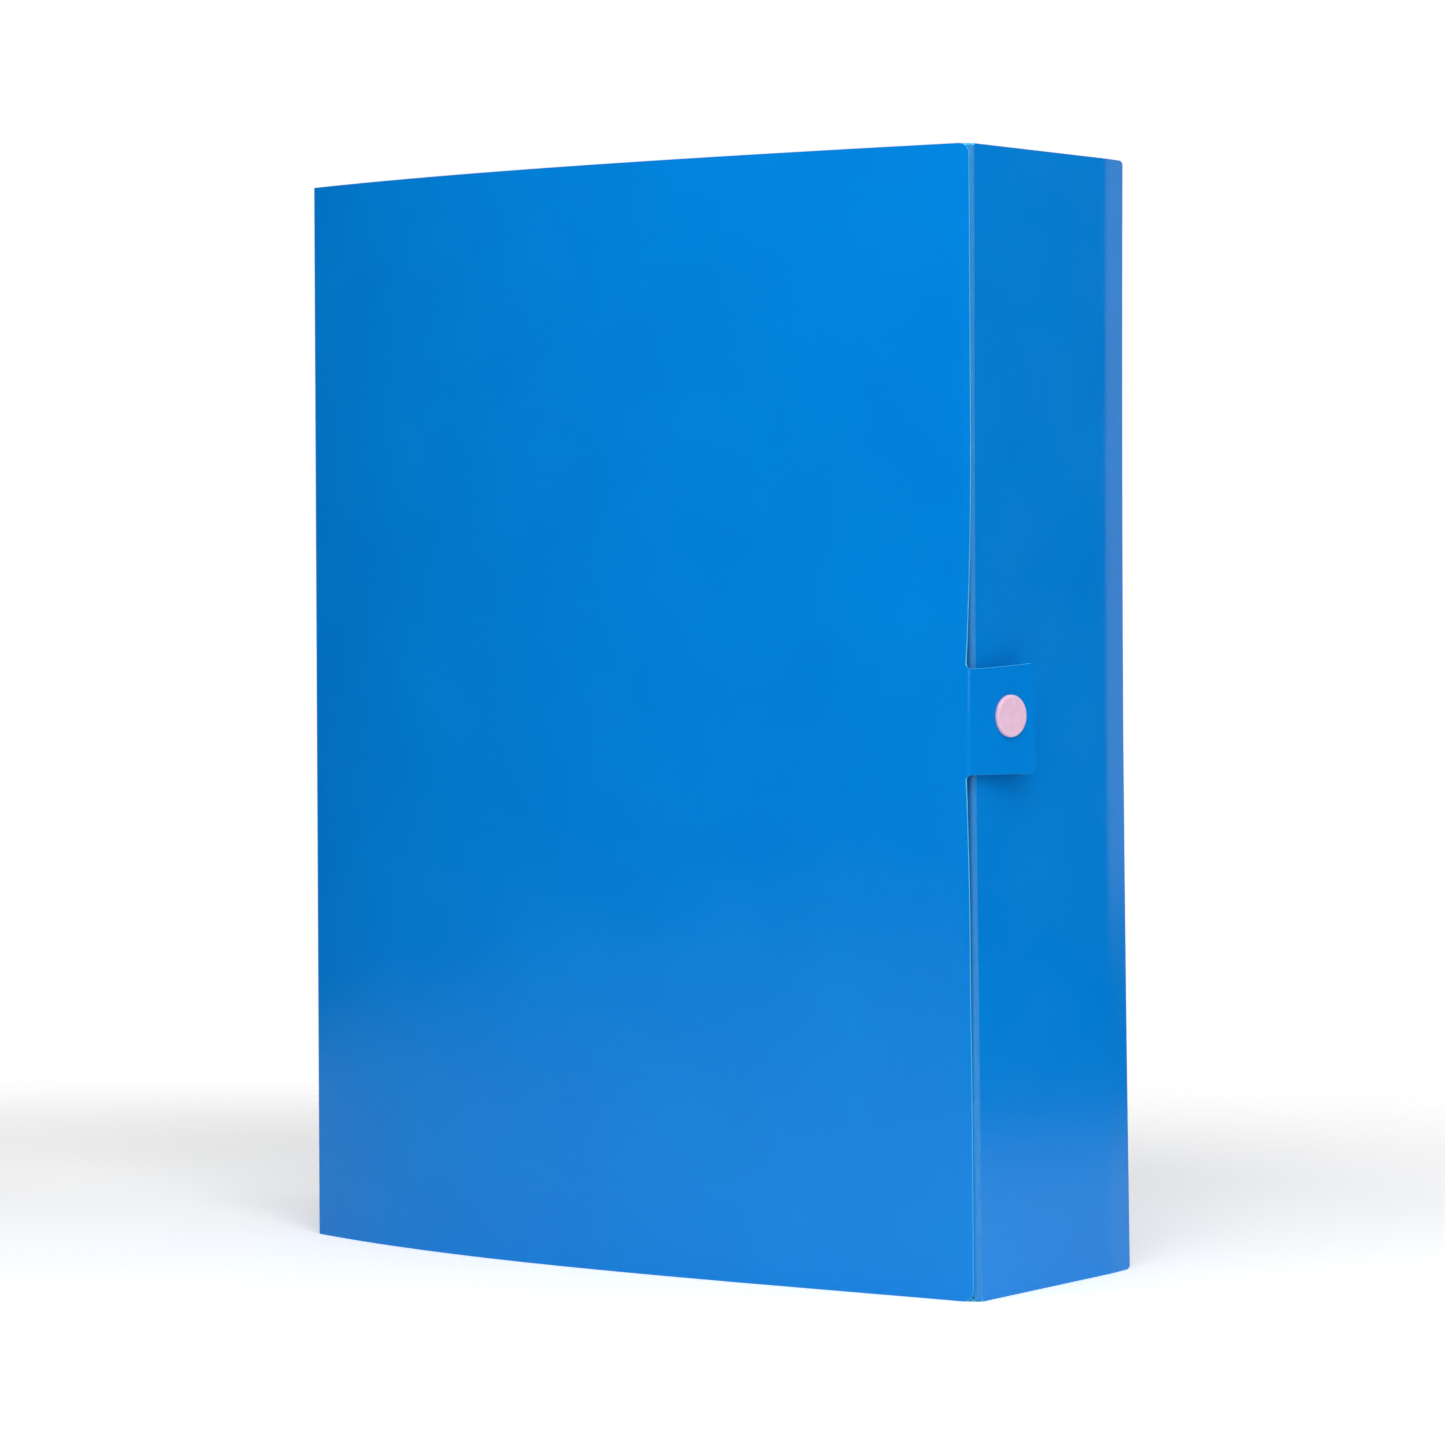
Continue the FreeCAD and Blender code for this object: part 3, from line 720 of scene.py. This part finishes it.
# ---- cover and tab -----------------------------------------------------------------------------
def cover_heights():
    """Heights across the cover, closer together beside the tab."""
    coarse = np.linspace(0.0, 1.0, COVER_ROWS)
    low = (TAB_LOW_Z - TAB_ROOT_FILLET - COVER_LOW_Z) / (COVER_HIGH_Z - COVER_LOW_Z)
    high = (TAB_HIGH_Z + TAB_ROOT_FILLET - COVER_LOW_Z) / (COVER_HIGH_Z - COVER_LOW_Z)
    return np.unique(np.concatenate([coarse, np.linspace(low, high, 13)]))


def add_cover():
    length = COVER_EDGE_X - SPINE_X
    first = SET_BACK * float(cover_direction(0.0, np.array([MIDDLE_Z]))[0, 0])
    reach = length - first

    def surface(u, v):
        drop = corner_drop(u, reach, COVER_CORNER)
        z = COVER_LOW_Z + drop + (COVER_HIGH_Z - COVER_LOW_Z - 2.0 * drop) * v
        return cover_point((u + first) / length, z)
    us = rounded_reach(reach, COVER_CORNER, count=12)
    obj = card_sheet("front_cover_card", surface, us, cover_heights(), (0, -1, 0), ("start",))
    riding(obj, "front_cover")


def add_cover_fold():
    corner = (SPINE_X, COVER_FOLD_Y, 0)
    mid = cover_direction(0.0, np.array([MIDDLE_Z]))[0]
    surface = fold_surface(lambda w: np.array(corner) + np.array([0, 0, 1.0]) * w[..., None],
                           steady((0, 1, 0)), lambda w: cover_direction(0.0, w), SET_BACK,
                           even_span(COVER_LOW_Z, COVER_HIGH_Z))
    length = fold_length((0, 1, 0), mid, SET_BACK)
    obj = card_sheet("spine_cover_crease_card", surface, fold_samples(length), np.linspace(0, 1, COVER_ROWS),
                     -mid - np.array((0, 1.0, 0)), ("start", "end"))
    bend_between(obj, "cover", corner, (0, 1, 0), mid)
    stands_for(obj, "spine_cover_crease")


TAB_DIRECTION = np.array([math.sin(TAB_LEAN), math.cos(TAB_LEAN), 0.0])


def tab_corner(z):
    """Where the cover's and the tab's middle faces would cross, at each height."""
    return cover_edge(z) + cover_direction(1.0, z) * TAB_SET_BACK


def tab_span(s):
    """Lower and upper edge of the tab at a distance from its fold."""
    share = np.clip(s / TAB_LENGTH, 0.0, 1.0)
    drop = corner_drop(s, TAB_LENGTH, TAB_CORNER)
    return TAB_LOW_Z - TAB_FLARE_LOW * share + drop, TAB_HIGH_Z + TAB_FLARE_HIGH * share ** 1.5 - drop


def add_tab():
    settled = np.array([TAB_FOLD_X, TAB_FOLD_Y, 0.0])

    def surface(u, v):
        s = u + TAB_SET_BACK
        low, high = tab_span(s)
        z = low + (high - low) * v
        root = tab_corner(z)
        flat = settled + np.array([0, 0, 1.0]) * z[..., None]
        share = smooth(u / TAB_SETTLE)[..., None]
        return root + (flat - root) * share + TAB_DIRECTION * s[..., None]
    reach = TAB_LENGTH - TAB_SET_BACK
    us = rounded_reach(reach, TAB_CORNER, step=1.0 * MM, count=12)
    obj = card_sheet("closing_tab_card", surface, us, np.linspace(0, 1, TAB_ROWS), (1, 0, 0), ("start",))
    centre = settled + TAB_DIRECTION * STUD_ALONG_TAB + np.array([0, 0, STUD_Z])
    pierce(obj, centre, (math.cos(TAB_LEAN), -math.sin(TAB_LEAN), 0), POST_HOLE)
    riding(obj, "closing_tab")


def add_tab_fold():
    mid_z = np.array([TAB_MIDDLE_Z])
    toward_cover = -cover_direction(1.0, mid_z)[0]
    length = fold_length(toward_cover, TAB_DIRECTION, TAB_SET_BACK)
    root_low, root_high = tab_span(np.array([TAB_SET_BACK]))

    def filleted(u):
        past = np.clip(1.0 - u / length, 0.0, 1.0)
        spread_out = TAB_ROOT_FILLET * (1.0 - np.sqrt(np.maximum(1.0 - past ** 2, 0.0)))
        return root_low[0] - spread_out, root_high[0] + spread_out
    surface = fold_surface(tab_corner, lambda w: -cover_direction(1.0, w), steady(TAB_DIRECTION),
                           TAB_SET_BACK, filleted)
    turn = np.linspace(0.0, math.pi / 2.0, 19)
    obj = card_sheet("cover_tab_crease_card", surface, length * (1.0 - np.cos(turn)),
                     np.linspace(0, 1, 25), (1, -1, 0), ("start", "end"))
    corner = tab_corner(mid_z)[0]
    bend_between(obj, "tab", corner, toward_cover, TAB_DIRECTION)
    stands_for(obj, "cover_tab_crease")


# ---- press stud --------------------------------------------------------------------------------
STUD_SEGMENTS = 96


def turned(name, profile, origin, axis, ring=False):
    """A body of revolution from (radius, height) pairs; ring joins the last to the first."""
    bm = bmesh.new()
    frame_of_axis = Vector(axis).to_track_quat("Z", "Y").to_matrix()
    rings = []
    for radius, height in profile:
        if radius == 0.0:
            centre = bm.verts.new(Vector(origin) + frame_of_axis @ Vector((0, 0, height)))
            rings.append([centre] * STUD_SEGMENTS)
            continue
        circle = []
        for k in range(STUD_SEGMENTS):
            turn = 2.0 * math.pi * k / STUD_SEGMENTS
            offset = Vector((radius * math.cos(turn), radius * math.sin(turn), height))
            circle.append(bm.verts.new(Vector(origin) + frame_of_axis @ offset))
        rings.append(circle)
    pairs = list(zip(rings, rings[1:])) + ([(rings[-1], rings[0])] if ring else [])
    for lower, upper in pairs:
        for k in range(STUD_SEGMENTS):
            following = (k + 1) % STUD_SEGMENTS
            corners = [lower[k], lower[following], upper[following], upper[k]]
            bm.faces.new(list(dict.fromkeys(corners)))
    bmesh.ops.recalc_face_normals(bm, faces=bm.faces)
    mesh = bpy.data.meshes.new(name)
    bm.to_mesh(mesh)
    bm.free()
    return finish_mesh(name, mesh, STUD_FINISHES)


def arc_points(centre_r, centre_h, radius, start, end, count=8):
    """Points of a profile's round, from one angle to another in degrees."""
    angles = [math.radians(start + (end - start) * k / count) for k in range(count + 1)]
    return [(centre_r + radius * math.cos(a), centre_h + radius * math.sin(a)) for a in angles]


def cap_profile(base, dish):
    """A flat round cap with rolled rim and a very shallow dish, standing on base."""
    top = base + CAP_THICKNESS
    dish_radius = CAP_RADIUS - CAP_DISH_MARGIN
    profile = [(0.0, base), (CAP_RADIUS - CAP_FOOT, base)]
    profile += arc_points(CAP_RADIUS - CAP_FOOT, base + CAP_FOOT, CAP_FOOT, -90, 0, 4)[1:]
    profile += arc_points(CAP_RADIUS - CAP_RIM, top - CAP_RIM, CAP_RIM, 0, 90, 10)
    profile += [(dish_radius + 0.35 * MM, top - 0.02 * MM)]
    steps = 10
    for k in range(steps + 1):
        share = 1.0 - k / steps
        profile.append((dish_radius * share, top - dish * (1.0 - 0.45 * share ** 2)))
    return profile


def socket_profile():
    """The socket: a disc with a groove in its face, and a lip at the mouth of its bore."""
    web = -HALF - SOCKET_WEB
    mouth = -HALF - SOCKET_THICKNESS
    groove = mouth + MOULD_BEVEL
    return [
        (POST_RADIUS, -HALF), (SOCKET_RADIUS - MOULD_BEVEL, -HALF), (SOCKET_RADIUS, -HALF - MOULD_BEVEL),
        (SOCKET_RADIUS, mouth + MOULD_ROUND), (SOCKET_RADIUS - MOULD_ROUND, mouth),
        (GROOVE_OUTER_RADIUS, mouth), (GROOVE_OUTER_RADIUS - MOULD_ROUND, groove),
        (GROOVE_INNER_RADIUS + MOULD_ROUND, groove), (GROOVE_INNER_RADIUS, mouth),
        (SOCKET_LIP_RADIUS + LIP_BEVEL, mouth), (SOCKET_LIP_RADIUS, mouth + LIP_BEVEL),
        (SOCKET_LIP_RADIUS, mouth + SOCKET_LIP), (SOCKET_BORE_RADIUS, mouth + SOCKET_LIP + LIP_BEVEL),
        (SOCKET_BORE_RADIUS, web), (POST_RADIUS, web)]


def stud_profile():
    """The stud: a flat foot, a neck and a rounded head."""
    profile = [
        (0.0, 0.0), (SOCKET_RADIUS - MOULD_BEVEL, 0.0), (SOCKET_RADIUS, STUD_BASE_BEVEL),
        (SOCKET_RADIUS, STUD_BASE - STUD_BASE_BEVEL), (SOCKET_RADIUS - MOULD_ROUND, STUD_BASE),
        (STUD_FILLET_RADIUS, STUD_BASE), (STUD_NECK_RADIUS, STUD_BASE + MOULD_ROUND),
        (STUD_NECK_RADIUS, STUD_NECK_TOP)]
    profile += arc_points(STUD_HEAD_RADIUS - STUD_HEAD_ROUND, STUD_HEAD_HEIGHT, STUD_HEAD_ROUND, -50, 90)
    return profile + [(0.0, STUD_TOP)]


def add_press_stud():
    out = Vector((math.cos(TAB_LEAN), -math.sin(TAB_LEAN), 0.0))
    on_tab = Vector((TAB_FOLD_X, TAB_FOLD_Y, STUD_Z)) + Vector(TAB_DIRECTION) * STUD_ALONG_TAB
    on_wall = Vector((WALL_FACE_X, STUD_Y, STUD_Z))
    inside = Vector((WALL_X - HALF, STUD_Y, STUD_Z))
    for node, profile, origin, axis, ring in (
            ("press_stud_cap", cap_profile(HALF, CAP_DISH), on_tab, out, False),
            ("press_stud_socket", socket_profile(), on_tab, out, True),
            ("press_stud_stud", stud_profile(), on_wall, (1, 0, 0), False),
            ("press_stud_backing", cap_profile(0.0, BACKING_DISH), inside, (-1, 0, 0), False)):
        riding(turned(node + "_moulding", profile, origin, axis, ring), node)


# ---- camera, floor and light -------------------------------------------------------------------
CAMERA_PLACE = (0.8766, -1.1717, 0.2084)
CAMERA_FORWARD = (-0.59705, 0.80220, 0.00152)
CAMERA_UP = (0.00510, 0.00191, 0.99999)
CAMERA_LENS = 118.9
CAMERA_SENSOR = 36.0
CAMERA_SHIFT = (0.0009, -0.1099)

FLOOR_PLACE = (-0.12, -0.16, 0.0)
FLOOR_HALF_SIZE = (0.95, 0.60, 1.0)
FLOOR_TURN = math.radians(36.7)
FLOOR_GLOW = 0.27
FLOOR_FADE = (0.5, 0.98)     # the floor dies away between these shares of its half size

ROOM_LIGHT = 0.22            # the world's strength for diffuse rays,
MIRRORED_LIGHT = 0.0         # for reflections
BACKDROP_LIGHT = 1.0         # and as the camera sees it


def add_camera():
    data = bpy.data.cameras.new("camera")
    data.lens = CAMERA_LENS
    data.sensor_width = CAMERA_SENSOR
    data.shift_x, data.shift_y = CAMERA_SHIFT
    data.clip_end = 20.0
    camera = bpy.data.objects.new("camera", data)
    bpy.context.scene.collection.objects.link(camera)
    forward = Vector(CAMERA_FORWARD).normalized()
    right = forward.cross(Vector(CAMERA_UP)).normalized()
    up = right.cross(forward)
    camera.matrix_world = Matrix.LocRotScale(Vector(CAMERA_PLACE),
                                             Matrix((right, up, -forward)).transposed(), None)
    bpy.context.scene.camera = camera


def add_floor():
    """A pale sheet of paper that dies away into the white backdrop, longer across the view."""
    bm = bmesh.new()
    bmesh.ops.create_circle(bm, cap_ends=True, radius=1.0, segments=96)
    mesh = bpy.data.meshes.new("floor")
    bm.to_mesh(mesh)
    bm.free()
    floor = bpy.data.objects.new("floor", mesh)
    floor.location = FLOOR_PLACE
    floor.rotation_euler = (0.0, 0.0, FLOOR_TURN)
    floor.scale = FLOOR_HALF_SIZE
    bpy.context.scene.collection.objects.link(floor)
    material, tree, shader = new_material("floor_paper")
    tone = spread(tree, object_noise(tree, 6.0), 0.0, 1.0)
    colour = mixed_colour(tree, tone, (0.92, 0.92, 0.92), (0.94, 0.94, 0.94))
    tree.links.new(colour, shader.inputs["Base Color"])
    shader.inputs["Roughness"].default_value = 0.9
    shader.inputs["Specular IOR Level"].default_value = 0.1
    shader.inputs["Emission Color"].default_value = (1, 1, 1, 1)
    shader.inputs["Emission Strength"].default_value = FLOOR_GLOW
    place = node_of(tree, "ShaderNodeTexCoord")
    far = node_of(tree, "ShaderNodeVectorMath", operation="LENGTH")
    fade = node_of(tree, "ShaderNodeMapRange", interpolation_type="SMOOTHSTEP")
    fade.inputs["From Min"].default_value, fade.inputs["From Max"].default_value = FLOOR_FADE
    fade.inputs["To Min"].default_value = 1.0
    fade.inputs["To Max"].default_value = 0.0
    tree.links.new(place.outputs["Object"], far.inputs[0])
    tree.links.new(far.outputs["Value"], fade.inputs["Value"])
    tree.links.new(fade.outputs["Result"], shader.inputs["Alpha"])
    mesh.materials.append(material)


def add_area_light(name, place, target, size, power):
    data = bpy.data.lights.new(name, "AREA")
    data.shape = "RECTANGLE"
    data.size, data.size_y = size
    data.energy = power
    light = bpy.data.objects.new(name, data)
    light.location = place
    aim = Vector(target) - Vector(place)
    light.rotation_mode = "QUATERNION"
    light.rotation_quaternion = aim.to_track_quat("-Z", "Y")
    bpy.context.scene.collection.objects.link(light)


# name, place, where it points, size, power in watts
SOFTBOXES = (
    ("key_softbox", (0.43, -0.45, 0.75), (0.1, -0.03, 0.28), (0.45, 0.45), 3.0),
    ("top_softbox", (-0.05, -0.45, 0.84), (0.05, -0.04, 0.28), (0.6, 0.35), 2.15),
    ("strip_softbox", (1.10, -0.75, 0.42), (0.12, -0.03, 0.2), (0.4, 0.55), 3.4),
    ("side_softbox", (0.85, 0.2, 0.85), (0.12, 0.0, 0.24), (0.7, 0.7), 2.4),
    ("back_softbox", (0.45, 1.5, 0.5), (0.12, 0.03, 0.2), (0.85, 1.0), 2.8),
    ("overhead_softbox", (0.0, -0.25, 1.9), (0.0, -0.25, 0), (1.6, 1.6), 3.0),
)


def add_world():
    """A white backdrop for the camera, a dim room for diffuse rays, and nothing in reflections."""
    world = bpy.data.worlds.new("studio")
    bpy.context.scene.world = world
    world.use_nodes = True
    tree = world.node_tree
    tree.nodes.clear()
    ray = node_of(tree, "ShaderNodeLightPath")
    output = node_of(tree, "ShaderNodeOutputWorld")
    layers = []
    for strength in (ROOM_LIGHT, MIRRORED_LIGHT, BACKDROP_LIGHT):
        background = node_of(tree, "ShaderNodeBackground")
        background.inputs["Strength"].default_value = strength
        background.inputs["Color"].default_value = (1, 1, 1, 1)
        layers.append(background)
    room, mirrored, backdrop = layers
    unseen = node_of(tree, "ShaderNodeMixShader")
    seen = node_of(tree, "ShaderNodeMixShader")
    tree.links.new(ray.outputs["Is Glossy Ray"], unseen.inputs["Fac"])
    tree.links.new(room.outputs["Background"], unseen.inputs[1])
    tree.links.new(mirrored.outputs["Background"], unseen.inputs[2])
    tree.links.new(ray.outputs["Is Camera Ray"], seen.inputs["Fac"])
    tree.links.new(unseen.outputs["Shader"], seen.inputs[1])
    tree.links.new(backdrop.outputs["Background"], seen.inputs[2])
    tree.links.new(seen.outputs["Shader"], output.inputs["Surface"])


add_camera()
add_floor()
for softbox in SOFTBOXES:
    add_area_light(*softbox)
add_world()
add_upright_panels()
add_back_folds()
add_end("head", HEAD_Z, -1)
add_end("tail", TAIL_Z, 1)
add_inner_flaps()
add_cover()
add_cover_fold()
add_tab()
add_tab_fold()
add_press_stud()
bpy.context.scene.view_settings.view_transform = "Standard"
